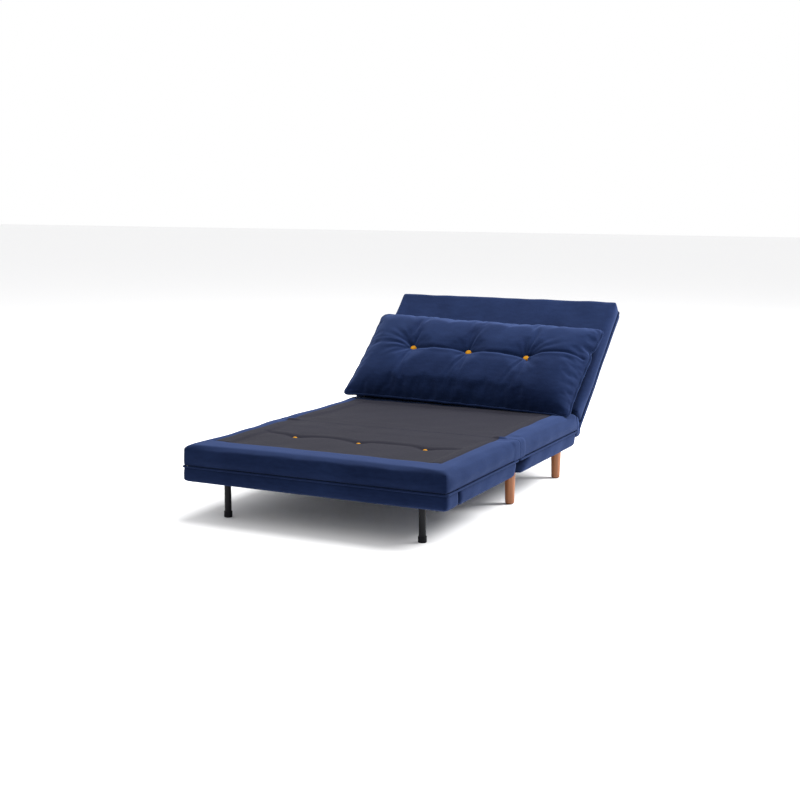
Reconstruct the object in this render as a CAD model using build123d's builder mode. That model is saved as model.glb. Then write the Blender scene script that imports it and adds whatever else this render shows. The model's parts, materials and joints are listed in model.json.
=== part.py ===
from build123d import *
from math import cos, radians, sin
import os

os.makedirs("parts", exist_ok=True)

# Driving sizes, all in millimetres
width = 1040
sectionLength = 645
baseLength = 650
topZ = 268
skinThick = 1.6
mattressThick = 77
padThick = 57
foldGap = 4
foldY = -280.3
foldAxisZ = topZ + 0.5
backAngle = 40
backLength = 650
backFrontThick = 65
backRearThick = 33
backStart = 12
axisDrop = 15
axisBehindFold = 653.5
airGap = 0.3

# Sizes worked out from them
half = width / 2
mattressTop = topZ - skinThick
seamZ = topZ - mattressThick
underZ = seamZ - padThick
axisZ = topZ - axisDrop
backSeam = axisDrop - backFrontThick
bed = Plane(origin=(0, foldY, 0))
back = Plane(
    origin=(0, foldY + axisBehindFold, axisZ),
    x_dir=(1, 0, 0),
    z_dir=(0, -sin(radians(backAngle)), cos(radians(backAngle))),
)

# Softened edges of the upholstery
cornerRound = 14
topRound = 14
grooveRound = 10
pipingRadius = 3.5
pipingInset = 0.9

# Timber frame inside the lower pads
railInner = 430
railOuter = 462
railThick = 22
railLow = underZ + 6
railHigh = railLow + 45
slatThick = 12
slatWide = 60

# Timber frame inside the backrest
backRailOuter = 467.5
backRailInner = backRailOuter - 32
backRailNear = -8
backRailFar = -40
backRailLow = 24
backRailHigh = 632

# Folding metal legs under the front section
legX = 388
legY = -sectionLength + 93
legPivotZ = underZ + 30
tubeRadius = 12.5
tubeWall = 1.5
tubeAbovePivot = 12
capRadius = 15
capHeight = 22
capFloor = 4
legPinRadius = 4
legPinHalf = 15.8
earThick = 2.5
stripEnd = -sectionLength + 103
slotEnd = -sectionLength + 109
slotStart = -sectionLength + 77
slotTop = underZ + 50
slotInnerX = 214
slotOuterX = legX + 20

# Turned wooden legs under the base
woodLegX = 446
woodLegFrontY = 94
woodLegRearY = 604
woodTopRadius = 21
woodFootRadius = 17
glideThick = 3
boltRadius = 4

# Fold hinges and recliner fittings
hingeX = 440
hingeHalf = 20
knuckleRadius = 3
knuckleHalf = 8
leafNear = 0.7
leafFar = 3.2
screwRadius = 2
plateInner = 462
plateThick = 5
armInner = backRailOuter
armThick = 5
bossRadius = 11
pivotRadius = 5
swingRadius = 27
running = 0.05

# Loose back cushion
cushionLow = 4
cushionLength = 483
cushionNear = axisDrop + 0.5
cushionEdge = 40
cushionMiddle = 77
cushionDeep = 160


def save(part, name):
    part.label = name
    export_step(part, "parts/" + name + ".step")


def block(plane, xs, ys, zs, mode=Mode.ADD):
    # a plain box between the given limits of the plane's own axes
    with BuildSketch(plane.offset(zs[0])) as outline:
        with Locations(((xs[0] + xs[1]) / 2, (ys[0] + ys[1]) / 2)):
            Rectangle(xs[1] - xs[0], ys[1] - ys[0])
    extrude(outline.sketch, amount=zs[1] - zs[0], mode=mode)


def pocket(plane, xs, ys, zs):
    # room for a box of those limits, with a little air all round
    block(
        plane,
        (xs[0] - airGap, xs[1] + airGap),
        (ys[0] - airGap, ys[1] + airGap),
        (zs[0] - airGap, zs[1] + airGap),
        Mode.SUBTRACT,
    )


def softSlab(plane, ys, zs, low, high):
    # an upholstered slab across the whole width, with its edges rolled over
    with BuildPart() as slab:
        with BuildSketch(plane.offset(zs[0])):
            with Locations((0, (ys[0] + ys[1]) / 2)):
                RectangleRounded(width, ys[1] - ys[0], cornerRound)
        extrude(amount=zs[1] - zs[0])
        up = Axis(plane.origin, plane.z_dir)
        fillet(slab.faces().filter_by(GeomType.PLANE).sort_by(up)[0].edges(), low)
        fillet(slab.faces().filter_by(GeomType.PLANE).sort_by(up)[-1].edges(), high)
    return slab.part


def rod(plane, x, y, radius, zs, mode=Mode.ADD):
    # a round bar along the plane's normal
    with BuildSketch(plane.offset(zs[0])) as outline:
        with Locations((x, y)):
            Circle(radius)
    extrude(outline.sketch, amount=zs[1] - zs[0], mode=mode)


def crossRod(y, z, radius, xs, mode=Mode.ADD):
    # a round bar along X, at a distance behind the fold and a height
    with BuildSketch(Plane(origin=(xs[0], foldY + y, z), x_dir=(0, 1, 0), z_dir=(1, 0, 0))) as outline:
        Circle(radius)
    extrude(outline.sketch, amount=xs[1] - xs[0], mode=mode)


def longRod(x, z, radius, ys, mode=Mode.ADD):
    # a round bar along Y
    with BuildSketch(Plane(origin=(x, foldY + ys[0], z), x_dir=(1, 0, 0), z_dir=(0, 1, 0))) as outline:
        Circle(radius)
    extrude(outline.sketch, amount=ys[1] - ys[0], mode=mode)


def pipingRing(plane, ys, level):
    # the self piping in the groove between two layers
    edge = half - pipingInset
    start = plane.from_local_coords(Vector(0, ys[0] + pipingInset, level))
    with BuildLine(plane.offset(level)) as path:
        FilletPolyline(
            (0, ys[0] + pipingInset),
            (edge, ys[0] + pipingInset),
            (edge, ys[1] - pipingInset),
            (0, ys[1] - pipingInset),
            radius=cornerRound - pipingInset,
        )
    with BuildSketch(Plane(origin=start, x_dir=plane.z_dir, z_dir=(1, 0, 0))) as profile:
        Circle(pipingRadius)
    sweep(profile.sketch, path=path.wires()[0])
    mirror(about=Plane.YZ)


def both(xs):
    # the same limits on the right and on the left
    return [xs, (-xs[1], -xs[0])]


# Where the frame pieces lie, as limits of X, distance behind the fold, and height
railZ = (railLow, railHigh)
baseRearRail = (610, 610 + railThick)
baseSideY = (foldGap + railThick, baseRearRail[0])
frontEndRail = (-foldGap - railThick, -foldGap)
frontCrossRail = (-sectionLength + 12, -sectionLength + 12 + railThick)
frontLegRail = (slotEnd, slotEnd + railThick)
frontSideY = (frontCrossRail[1], frontEndRail[0])
slatZ = (railHigh - slatThick, railHigh)
baseSlatY = [90, 220, 350, 480]
frontSlatY = [-450, -330, -210, -90]


def baseFrame():
    pieces = [((-railInner, railInner), (y, y + slatWide), slatZ) for y in baseSlatY]
    for xs in both((railInner, railOuter)):
        pieces.append((xs, baseSideY, railZ))
    pieces.append(((-railOuter, railOuter), (foldGap, foldGap + railThick), railZ))
    pieces.append(((-railOuter, railOuter), baseRearRail, railZ))
    return pieces


def frontFrame():
    pieces = [((-railInner, railInner), (y, y + slatWide), slatZ) for y in frontSlatY]
    for xs in both((railInner, railOuter)):
        pieces.append((xs, frontSideY, railZ))
    pieces.append(((-railOuter, railOuter), frontEndRail, railZ))
    pieces.append(((-railOuter, railOuter), frontCrossRail, railZ))
    pieces.append(((-railInner, railInner), frontLegRail, railZ))
    return pieces


def fixedPlateOutline(grow):
    # the recliner plate on the base, seen along X from its pivot
    with BuildSketch(Plane(origin=(0, foldY + axisBehindFold, axisZ), x_dir=(0, 1, 0), z_dir=(1, 0, 0))) as s:
        with BuildLine() as line:
            CenterArc((0, 0), bossRadius + grow, 0, 360)
            CenterArc((-70, -88), bossRadius + grow, 0, 360)
        make_hull(line.edges())
    return s.sketch


def armOutline(grow):
    # the recliner arm on the backrest, seen along X from its pivot
    with BuildSketch(Plane(origin=back.origin, x_dir=back.y_dir, z_dir=(1, 0, 0))) as s:
        with BuildLine() as line:
            CenterArc((0, 0), bossRadius + grow, 0, 360)
            CenterArc((200, -20), bossRadius + grow, 0, 360)
        make_hull(line.edges())
    return s.sketch


def acrossX(sketch, xs, mode=Mode.ADD):
    # pushes an outline drawn at X = 0 out to the given limits
    extrude(sketch.moved(Location((xs[0], 0, 0))), amount=xs[1] - xs[0], mode=mode)


plateScrewAt = [(axisBehindFold - 62, axisZ - 80), (axisBehindFold - 74, axisZ - 92)]
armScrewAt = [(120, -12), (185, -18.5)]


def slopePoint(s, n):
    # a point of the backrest as distance behind the fold and height
    a = radians(backAngle)
    return (axisBehindFold + s * cos(a) - n * sin(a), axisZ + s * sin(a) + n * cos(a))


def reclinerRoom():
    # slots in the base upholstery for the fixed plates and for the swing of the arms
    for xs in both((plateInner - airGap, plateInner + plateThick + airGap)):
        acrossX(fixedPlateOutline(airGap), xs, Mode.SUBTRACT)
    for xs in both((plateInner - airGap, armInner + armThick + 3)):
        crossRod(axisBehindFold, axisZ, swingRadius, xs, Mode.SUBTRACT)
    for xs in both((railOuter, armInner)):
        for y, z in plateScrewAt:
            crossRod(y, z, screwRadius + airGap, xs, Mode.SUBTRACT)


def leafRoom():
    # the piping is pressed flat where the fold hinges stand in front of it
    for x in (-hingeX, hingeX):
        xs = (x - hingeHalf - 1, x + hingeHalf + 1)
        block(bed, xs, (-leafFar - airGap, leafFar + airGap), (seamZ - 5, seamZ + 5), Mode.SUBTRACT)


# Base: upper mattress, lining and border
with BuildPart() as baseMattress:
    add(softSlab(bed, (foldGap, baseLength), (seamZ, mattressTop), grooveRound, topRound))
    reclinerRoom()
save(baseMattress.part, "base_mattress")

liningHalf = half - 80
liningEdge = topRound
baseLiningY = (liningEdge, baseLength - 80)
frontLiningY = (-sectionLength + 125, -liningEdge)
skinZ = (mattressTop, topZ)

with BuildPart() as baseLining:
    block(bed, (-liningHalf, liningHalf), baseLiningY, skinZ)
save(baseLining.part, "base_lining")

with BuildPart() as baseBorder:
    block(bed, (-half + topRound, half - topRound), (liningEdge, baseLength - topRound), skinZ)
    block(bed, (-liningHalf, liningHalf), baseLiningY, skinZ, Mode.SUBTRACT)
    reclinerRoom()
save(baseBorder.part, "base_border")

# Base: lower pad around the timber frame
notchDeep = 116
notchWide = 52


def sideNotch(ends):
    # the tucked cloth at the sides where the lower pad starts, cut back to a slant
    with BuildSketch(Plane(origin=(0, foldY, 0), x_dir=(0, 1, 0), z_dir=(1, 0, 0))) as wedge:
        with BuildLine():
            Polyline(*ends, close=True)
        make_face()
    for xs in both((half - notchWide, half + 1)):
        acrossX(wedge.sketch, xs, Mode.SUBTRACT)


with BuildPart() as basePad:
    add(softSlab(bed, (foldGap, baseLength), (underZ, seamZ), grooveRound, grooveRound))
    sideNotch([(0, underZ - 1), (foldGap, underZ - 1), (foldGap + notchDeep, seamZ + 1), (0, seamZ + 1)])
    for xs, ys, zs in baseFrame():
        pocket(bed, xs, ys, zs)
    reclinerRoom()
    for x in (-woodLegX, woodLegX):
        for y in (woodLegFrontY, woodLegRearY):
            rod(bed, x, y, boltRadius + airGap, (underZ - 1, railLow), Mode.SUBTRACT)
save(basePad.part, "base_lower_pad")

with BuildPart() as basePiping:
    pipingRing(bed, (foldGap, baseLength), seamZ)
    leafRoom()
save(basePiping.part, "base_piping")


def hingeScrews(side, mode):
    # screws of the fold hinges, side -1 towards the front and 1 towards the base
    for x in (-hingeX, hingeX):
        for dx in (-12, 12):
            for z in (158, 174):
                ys = (leafNear, leafFar + 14) if side > 0 else (-leafFar - 14, -leafNear)
                longRod(x + dx, z, screwRadius, ys, mode)


# Base: timber frame
for side, name in ((1, "base_right_rail"), (-1, "base_left_rail")):
    with BuildPart() as baseSideRail:
        limits = (railInner, railOuter) if side > 0 else (-railOuter, -railInner)
        block(bed, limits, baseSideY, railZ)
        for y in (woodLegFrontY, woodLegRearY):
            rod(bed, side * woodLegX, y, boltRadius, (railLow - 1, railHigh - 10), Mode.SUBTRACT)
        for y, z in plateScrewAt:
            ends = (railOuter - 14, railOuter + 1) if side > 0 else (-railOuter - 1, -railOuter + 14)
            crossRod(y, z, screwRadius, ends, Mode.SUBTRACT)
    save(baseSideRail.part, name)

with BuildPart() as baseFrontRail:
    block(bed, (-railOuter, railOuter), (foldGap, foldGap + railThick), railZ)
    hingeScrews(1, Mode.SUBTRACT)
save(baseFrontRail.part, "base_front_rail")

with BuildPart() as baseRearRailPart:
    block(bed, (-railOuter, railOuter), baseRearRail, railZ)
save(baseRearRailPart.part, "base_rear_rail")

with BuildPart() as baseSlats:
    for y in baseSlatY:
        block(bed, (-railInner, railInner), (y, y + slatWide), slatZ)
save(baseSlats.part, "base_slats")

# Base: wooden legs with their glides and hanger bolts
legNames = {
    (-1, woodLegFrontY): "wooden_leg_front_left",
    (1, woodLegFrontY): "wooden_leg_front_right",
    (-1, woodLegRearY): "wooden_leg_rear_left",
    (1, woodLegRearY): "wooden_leg_rear_right",
}
boltBottom = 92
for (side, y), name in legNames.items():
    with BuildPart() as woodenLeg:
        with BuildSketch(bed.offset(glideThick)):
            with Locations((side * woodLegX, y)):
                Circle(woodFootRadius)
        with BuildSketch(bed.offset(underZ)):
            with Locations((side * woodLegX, y)):
                Circle(woodTopRadius)
        loft()
        chamfer(woodenLeg.edges().group_by(Axis.Z)[0], 1.5)
        rod(bed, side * woodLegX, y, boltRadius, (boltBottom, underZ + 1), Mode.SUBTRACT)
    save(woodenLeg.part, name)

with BuildPart() as legGlides:
    for side, y in legNames:
        rod(bed, side * woodLegX, y, woodFootRadius - 4, (0, glideThick))
save(legGlides.part, "leg_glides")

with BuildPart() as legBolts:
    for side, y in legNames:
        rod(bed, side * woodLegX, y, boltRadius, (boltBottom, railHigh - 10))
save(legBolts.part, "leg_hanger_bolts")


# Fold hinges: a leaf is a plate with one or two knuckles on the fold axis
def leaf(side, x, own, other):
    ys = (leafNear, leafFar) if side > 0 else (-leafFar, -leafNear)
    block(bed, (x - hingeHalf, x + hingeHalf), ys, (150, foldAxisZ - knuckleRadius - 0.5))
    for xs in own:
        block(bed, (x + xs[0], x + xs[1]), ys, (foldAxisZ - knuckleRadius - 0.5, foldAxisZ))
        crossRod(0, foldAxisZ, knuckleRadius, (x + xs[0], x + xs[1]))
    crossRod(0, foldAxisZ, other, (x - hingeHalf, x + hingeHalf), Mode.SUBTRACT)


foldPinRadius = 1.5
middleKnuckle = [(-knuckleHalf, knuckleHalf)]
outerKnuckles = [(-hingeHalf, -knuckleHalf - airGap), (knuckleHalf + airGap, hingeHalf)]
with BuildPart() as baseLeaves:
    for x in (-hingeX, hingeX):
        leaf(1, x, middleKnuckle, foldPinRadius + running)
    hingeScrews(1, Mode.SUBTRACT)
save(baseLeaves.part, "fold_hinge_base_leaves")

with BuildPart() as frontLeaves:
    for x in (-hingeX, hingeX):
        leaf(-1, x, outerKnuckles, foldPinRadius)
    hingeScrews(-1, Mode.SUBTRACT)
save(frontLeaves.part, "fold_hinge_front_leaves")

with BuildPart() as foldPins:
    for x in (-hingeX, hingeX):
        crossRod(0, foldAxisZ, foldPinRadius, (x - hingeHalf, x + hingeHalf))
save(foldPins.part, "fold_hinge_pins")

with BuildPart() as frontHingeScrews:
    hingeScrews(-1, Mode.ADD)
save(frontHingeScrews.part, "front_hinge_screws")

# Recliner plates fixed to the base rails
for side, name in ((-1, "recliner_left_plate"), (1, "recliner_right_plate")):
    limits = (plateInner, plateInner + plateThick)
    if side < 0:
        limits = (-limits[1], -limits[0])
    with BuildPart() as fixedPlate:
        acrossX(fixedPlateOutline(0), limits)
        crossRod(axisBehindFold, axisZ, pivotRadius + running, limits, Mode.SUBTRACT)
        for y, z in plateScrewAt:
            crossRod(y, z, screwRadius, limits, Mode.SUBTRACT)
    save(fixedPlate.part, name)

with BuildPart() as baseScrews:
    hingeScrews(1, Mode.ADD)
    for xs in both((railOuter - 14, plateInner + plateThick)):
        for y, z in plateScrewAt:
            crossRod(y, z, screwRadius, xs)
save(baseScrews.part, "base_screws")

# Front section: upper mattress, lining, border and the tuft spots
tuftY = -sectionLength + 366
tuftSpacing = 268
tuftRadius = 6
buttonRadius = 13
buttonHigh = 6
tuftX = [-tuftSpacing, 0, tuftSpacing]

with BuildPart() as frontMattress:
    add(softSlab(bed, (-sectionLength, -foldGap), (seamZ, mattressTop), grooveRound, topRound))
save(frontMattress.part, "front_mattress")

with BuildPart() as frontLining:
    block(bed, (-liningHalf, liningHalf), frontLiningY, skinZ)
    for x in tuftX:
        rod(bed, x, tuftY, tuftRadius + airGap, skinZ, Mode.SUBTRACT)
save(frontLining.part, "front_lining")

with BuildPart() as frontBorder:
    block(bed, (-half + topRound, half - topRound), (-sectionLength + topRound, -liningEdge), skinZ)
    block(bed, (-liningHalf, liningHalf), frontLiningY, skinZ, Mode.SUBTRACT)
save(frontBorder.part, "front_border")

with BuildPart() as tufts:
    for x in tuftX:
        rod(bed, x, tuftY, tuftRadius, (mattressTop, topZ - 0.1))
save(tufts.part, "lining_tufts")

with BuildPart() as seatButtons:
    for x in tuftX:
        rod(bed, x, tuftY, buttonRadius, (underZ - buttonHigh, underZ))
    fillet(seatButtons.edges().group_by(Axis.Z)[0], buttonHigh - 1)
save(seatButtons.part, "seat_buttons")

# Front section: the lower layer is a main pad and a strip with the leg slots between them
with BuildPart() as frontPad:
    add(softSlab(bed, (-sectionLength, -foldGap), (underZ, seamZ), grooveRound, grooveRound))
    block(bed, (-half, half), (-sectionLength, slotEnd), (underZ, seamZ), Mode.SUBTRACT)
    sideNotch([(0, underZ - 1), (-18, underZ - 1), (-12, seamZ - 25), (-8, seamZ + 1), (0, seamZ + 1)])
    for xs, ys, zs in frontFrame():
        pocket(bed, xs, ys, zs)
save(frontPad.part, "front_lower_pad")

with BuildPart() as frontStrip:
    add(softSlab(bed, (-sectionLength, -foldGap), (underZ, seamZ), grooveRound, grooveRound))
    block(bed, (-half, half), (stripEnd, 0), (underZ, seamZ), Mode.SUBTRACT)
    for xs in both((slotInnerX, slotOuterX)):
        block(bed, xs, (slotStart, slotEnd), (underZ, slotTop), Mode.SUBTRACT)
    for xs, ys, zs in frontFrame():
        pocket(bed, xs, ys, zs)
save(frontStrip.part, "front_edge_pad")

with BuildPart() as frontPiping:
    pipingRing(bed, (-sectionLength, -foldGap), seamZ)
    leafRoom()
save(frontPiping.part, "front_piping")

# Front section: timber frame
for xs, name in zip(both((railInner, railOuter)), ("front_right_rail", "front_left_rail")):
    with BuildPart() as frontSideRail:
        block(bed, xs, frontSideY, railZ)
    save(frontSideRail.part, name)

with BuildPart() as frontFoldRail:
    block(bed, (-railOuter, railOuter), frontEndRail, railZ)
    hingeScrews(-1, Mode.SUBTRACT)
save(frontFoldRail.part, "front_fold_rail")

with BuildPart() as frontCross:
    block(bed, (-railOuter, railOuter), frontCrossRail, railZ)
save(frontCross.part, "front_cross_rail")

with BuildPart() as frontLegRailPart:
    block(bed, (-railInner, railInner), frontLegRail, railZ)
save(frontLegRailPart.part, "front_leg_rail")

with BuildPart() as frontSlats:
    for y in frontSlatY:
        block(bed, (-railInner, railInner), (y, y + slatWide), slatZ)
save(frontSlats.part, "front_slats")

# Folding legs: bracket on the front section, tube, cap and pin on the leg
earHalf = 17
earLow = legPivotZ - 12
webHigh = slotTop
webLow = slotTop - earThick
earFront = slotStart
earRear = slotEnd
for side, name in ((-1, "left"), (1, "right")):
    x = side * legX
    with BuildPart() as legBracket:
        block(bed, (x - earHalf, x + earHalf), (earFront, earFront + earThick), (earLow, webHigh))
        block(bed, (x - earHalf, x + earHalf), (earRear - earThick, earRear), (earLow, webHigh))
        block(bed, (x - earHalf, x + earHalf), (earFront, earRear), (webLow, webHigh))
        longRod(x, legPivotZ, legPinRadius + running, (earFront - 1, earRear + 1), Mode.SUBTRACT)
    save(legBracket.part, name + "_leg_bracket")
    with BuildPart() as legTube:
        rod(bed, x, legY, tubeRadius, (capFloor, legPivotZ + tubeAbovePivot))
        rod(bed, x, legY, tubeRadius - tubeWall, (capFloor, legPivotZ + tubeAbovePivot), Mode.SUBTRACT)
        longRod(x, legPivotZ, legPinRadius, (legY - 20, legY + 20), Mode.SUBTRACT)
    save(legTube.part, name + "_leg_tube")
    with BuildPart() as legCap:
        rod(bed, x, legY, capRadius, (0, capHeight))
        chamfer(legCap.edges(), 1.2)
        rod(bed, x, legY, tubeRadius, (capFloor, capHeight), Mode.SUBTRACT)
    save(legCap.part, name + "_leg_cap")
    with BuildPart() as legPin:
        longRod(x, legPivotZ, legPinRadius, (legY - legPinHalf, legY + legPinHalf))
    save(legPin.part, name + "_leg_pin")

# Backrest: timber frame
backSlatS = [110, 220, 330, 440, 550]
backFrame = [((-backRailInner, backRailInner), (s, s + slatWide), (-36, -24)) for s in backSlatS[:-1]]
backFrame.append(((-backRailInner, backRailInner), (backRailHigh - 32, backRailHigh), (backRailFar, backRailNear)))
backFrame.append(((-backRailInner, backRailInner), (backRailLow, backRailLow + 32), (backRailFar, backRailNear)))
for xs in both((backRailInner, backRailOuter)):
    backFrame.append((xs, (backRailLow, backRailHigh), (backRailFar, backRailNear)))


def armScrews(xs, radius, mode):
    for s, n in armScrewAt:
        y, z = slopePoint(s, n)
        crossRod(y, z, radius, xs, mode)


with BuildPart() as backFrontPad:
    add(softSlab(back, (backStart, backStart + backLength), (backSeam, axisDrop), grooveRound, topRound))
    for xs, ys, zs in backFrame:
        pocket(back, xs, ys, zs)
    for xs in both((armInner - airGap, armInner + armThick + airGap)):
        acrossX(armOutline(airGap), xs, Mode.SUBTRACT)
save(backFrontPad.part, "back_front_pad")

with BuildPart() as backRearPad:
    rearFace = backSeam - backRearThick
    add(softSlab(back, (backStart, backStart + backLength), (rearFace, backSeam), topRound, grooveRound))
save(backRearPad.part, "back_rear_pad")

with BuildPart() as backPiping:
    pipingRing(back, (backStart, backStart + backLength), backSeam)
save(backPiping.part, "back_piping")

for side, name in ((1, "back_right_rail"), (-1, "back_left_rail")):
    limits = (backRailInner, backRailOuter) if side > 0 else (-backRailOuter, -backRailInner)
    ends = (backRailOuter - 14, backRailOuter + 1) if side > 0 else (-backRailOuter - 1, -backRailOuter + 14)
    with BuildPart() as backSideRail:
        block(back, limits, (backRailLow, backRailHigh), (backRailFar, backRailNear))
        armScrews(ends, screwRadius, Mode.SUBTRACT)
    save(backSideRail.part, name)

with BuildPart() as backTopRail:
    block(back, (-backRailInner, backRailInner), (backRailHigh - 32, backRailHigh), (backRailFar, backRailNear))
save(backTopRail.part, "back_top_rail")

with BuildPart() as backBottomRail:
    block(back, (-backRailInner, backRailInner), (backRailLow, backRailLow + 32), (backRailFar, backRailNear))
save(backBottomRail.part, "back_bottom_rail")

with BuildPart() as backSlats:
    for s in backSlatS[:-1]:
        block(back, (-backRailInner, backRailInner), (s, s + slatWide), (-36, -24))
save(backSlats.part, "back_slats")

# Recliner arms on the backrest, with their pivots and screws
for side, name in ((-1, "recliner_left_arm"), (1, "recliner_right_arm")):
    limits = (armInner, armInner + armThick) if side > 0 else (-armInner - armThick, -armInner)
    with BuildPart() as arm:
        acrossX(armOutline(0), limits)
        crossRod(axisBehindFold, axisZ, pivotRadius, limits, Mode.SUBTRACT)
        armScrews(limits, screwRadius, Mode.SUBTRACT)
    save(arm.part, name)

with BuildPart() as reclinerPins:
    for xs in both((plateInner, armInner + armThick)):
        crossRod(axisBehindFold, axisZ, pivotRadius, xs)
save(reclinerPins.part, "recliner_pivot_pins")

with BuildPart() as armScrewPart:
    for xs in both((armInner - 14, armInner + armThick)):
        armScrews(xs, screwRadius, Mode.ADD)
save(armScrewPart.part, "recliner_arm_screws")

# Loose cushion, a soft lens leaning on the backrest
cushionTop = cushionLow + cushionLength
cushionMid = (cushionLow + cushionTop) / 2
edgeNear = cushionMiddle - cushionEdge / 2
edgeFar = cushionMiddle + cushionEdge / 2
cushionPlane = Plane(origin=back.origin, x_dir=back.y_dir, z_dir=(1, 0, 0))
with BuildPart() as cushionBody:
    with BuildSketch(cushionPlane.offset(-half)) as lens:
        with BuildLine():
            ThreePointArc(
                (cushionLow, edgeFar), (cushionMid, cushionNear + cushionDeep), (cushionTop, edgeFar)
            )
            Line((cushionTop, edgeFar), (cushionTop, edgeNear))
            ThreePointArc((cushionTop, edgeNear), (cushionMid, cushionNear), (cushionLow, edgeNear))
            Line((cushionLow, edgeNear), (cushionLow, edgeFar))
        make_face()
    extrude(lens.sketch, amount=width)
    fillet(cushionBody.edges().filter_by(Axis.X), 12)
save(cushionBody.part, "cushion_body")

cordRadius = 4
with BuildPart() as cushionPiping:
    outerX = half + cordRadius + airGap
    lowS = cushionLow - cordRadius - airGap
    highS = cushionTop + cordRadius + airGap
    with BuildLine(back.offset(cushionMiddle)) as cordPath:
        FilletPolyline((0, lowS), (outerX, lowS), (outerX, highS), (0, highS), radius=cordRadius + 0.4)
    cordStart = back.from_local_coords(Vector(0, lowS, cushionMiddle))
    with BuildSketch(Plane(origin=cordStart, x_dir=back.z_dir, z_dir=(1, 0, 0))) as cord:
        Circle(cordRadius)
    sweep(cord.sketch, path=cordPath.wires()[0])
    mirror(about=Plane.YZ)
save(cushionPiping.part, "cushion_piping")

cushionButtonX = [-263, 0, 263]
with BuildPart() as cushionButtons:
    for x in cushionButtonX:
        rod(back, x, cushionMid, 14, (cushionNear + cushionDeep + 1, cushionNear + cushionDeep + 8))
    outward = Axis(back.origin, back.z_dir)
    fillet(cushionButtons.edges().filter_by(GeomType.CIRCLE).sort_by(outward)[-3:], 5)
save(cushionButtons.part, "cushion_buttons")
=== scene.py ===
import bpy
import bmesh
import json
import math
import time
import numpy as np
from mathutils import Matrix, Vector


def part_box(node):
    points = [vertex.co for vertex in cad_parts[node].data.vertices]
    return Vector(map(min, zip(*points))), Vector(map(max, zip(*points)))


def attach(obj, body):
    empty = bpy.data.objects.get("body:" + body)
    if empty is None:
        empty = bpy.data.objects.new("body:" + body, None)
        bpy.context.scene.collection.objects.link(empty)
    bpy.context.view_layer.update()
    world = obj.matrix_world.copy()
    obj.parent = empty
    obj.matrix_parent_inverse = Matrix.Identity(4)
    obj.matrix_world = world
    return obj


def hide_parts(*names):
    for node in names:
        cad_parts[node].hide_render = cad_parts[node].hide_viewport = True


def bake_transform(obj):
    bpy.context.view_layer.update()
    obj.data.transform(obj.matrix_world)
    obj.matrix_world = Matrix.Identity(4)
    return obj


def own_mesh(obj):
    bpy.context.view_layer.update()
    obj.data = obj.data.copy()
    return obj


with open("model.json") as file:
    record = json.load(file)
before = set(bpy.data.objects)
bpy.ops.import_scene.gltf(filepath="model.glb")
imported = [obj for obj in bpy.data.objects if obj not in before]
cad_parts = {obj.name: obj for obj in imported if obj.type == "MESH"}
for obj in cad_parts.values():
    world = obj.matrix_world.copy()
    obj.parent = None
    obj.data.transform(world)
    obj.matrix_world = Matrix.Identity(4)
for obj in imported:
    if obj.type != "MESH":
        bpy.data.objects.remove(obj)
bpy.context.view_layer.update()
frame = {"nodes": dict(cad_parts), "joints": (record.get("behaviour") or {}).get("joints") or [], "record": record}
scene = bpy.context.scene
began = time.time()
joints = {j["name"]: j for j in frame["joints"]}
foldPoint = Vector(joints["front_fold"]["pos_m"])
backPoint = Vector(joints["back_recline"]["pos_m"])
slopeAxis = Vector(joints["cushion_slide"]["axis"]).normalized()
outAxis = Vector((1, 0, 0)).cross(slopeAxis)
# across, up the backrest and out of its face
slopeTurn = Matrix((Vector((1, 0, 0)), slopeAxis, outAxis)).transposed().to_4x4()
slopeFrame = Matrix.Translation(backPoint) @ slopeTurn

# camera
camera = {
    "place": (2.218, -4.706, 1.165), "yaw": 26.3, "tilt": 9.6, "roll": 0.1,
    "lens": 59.2, "shiftUp": 0.016,
}
camData = bpy.data.cameras.new("studioCamera")
camData.lens = camera["lens"]
camData.shift_y = camera["shiftUp"]
camObject = bpy.data.objects.new("studioCamera", camData)
scene.collection.objects.link(camObject)
turn = Matrix.Rotation(math.radians(camera["yaw"]), 4, "Z")
tip = Matrix.Rotation(math.radians(90 - camera["tilt"]), 4, "X")
roll = Matrix.Rotation(math.radians(camera["roll"]), 4, "Z")
camObject.matrix_world = Matrix.Translation(camera["place"]) @ turn @ tip @ roll
scene.camera = camObject

# floor and lights
stage = {
    "size": 60.0, "floor": (0.90, 0.90, 0.905), "floorRough": 0.9,
    "world": (1.0, 1.0, 1.0), "worldPower": 1.0,
}
scene.view_settings.view_transform = "Standard"
lights = [
    {"name": "keyLight", "place": (3.6, 2.2, 3.4), "aim": (0, 0.1, 0.3), "size": 2.4, "power": 430},
    {"name": "topLight", "place": (0.2, 0.6, 4.2), "aim": (0, 0.1, 0.3), "size": 3.0, "power": 230},
]


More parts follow.
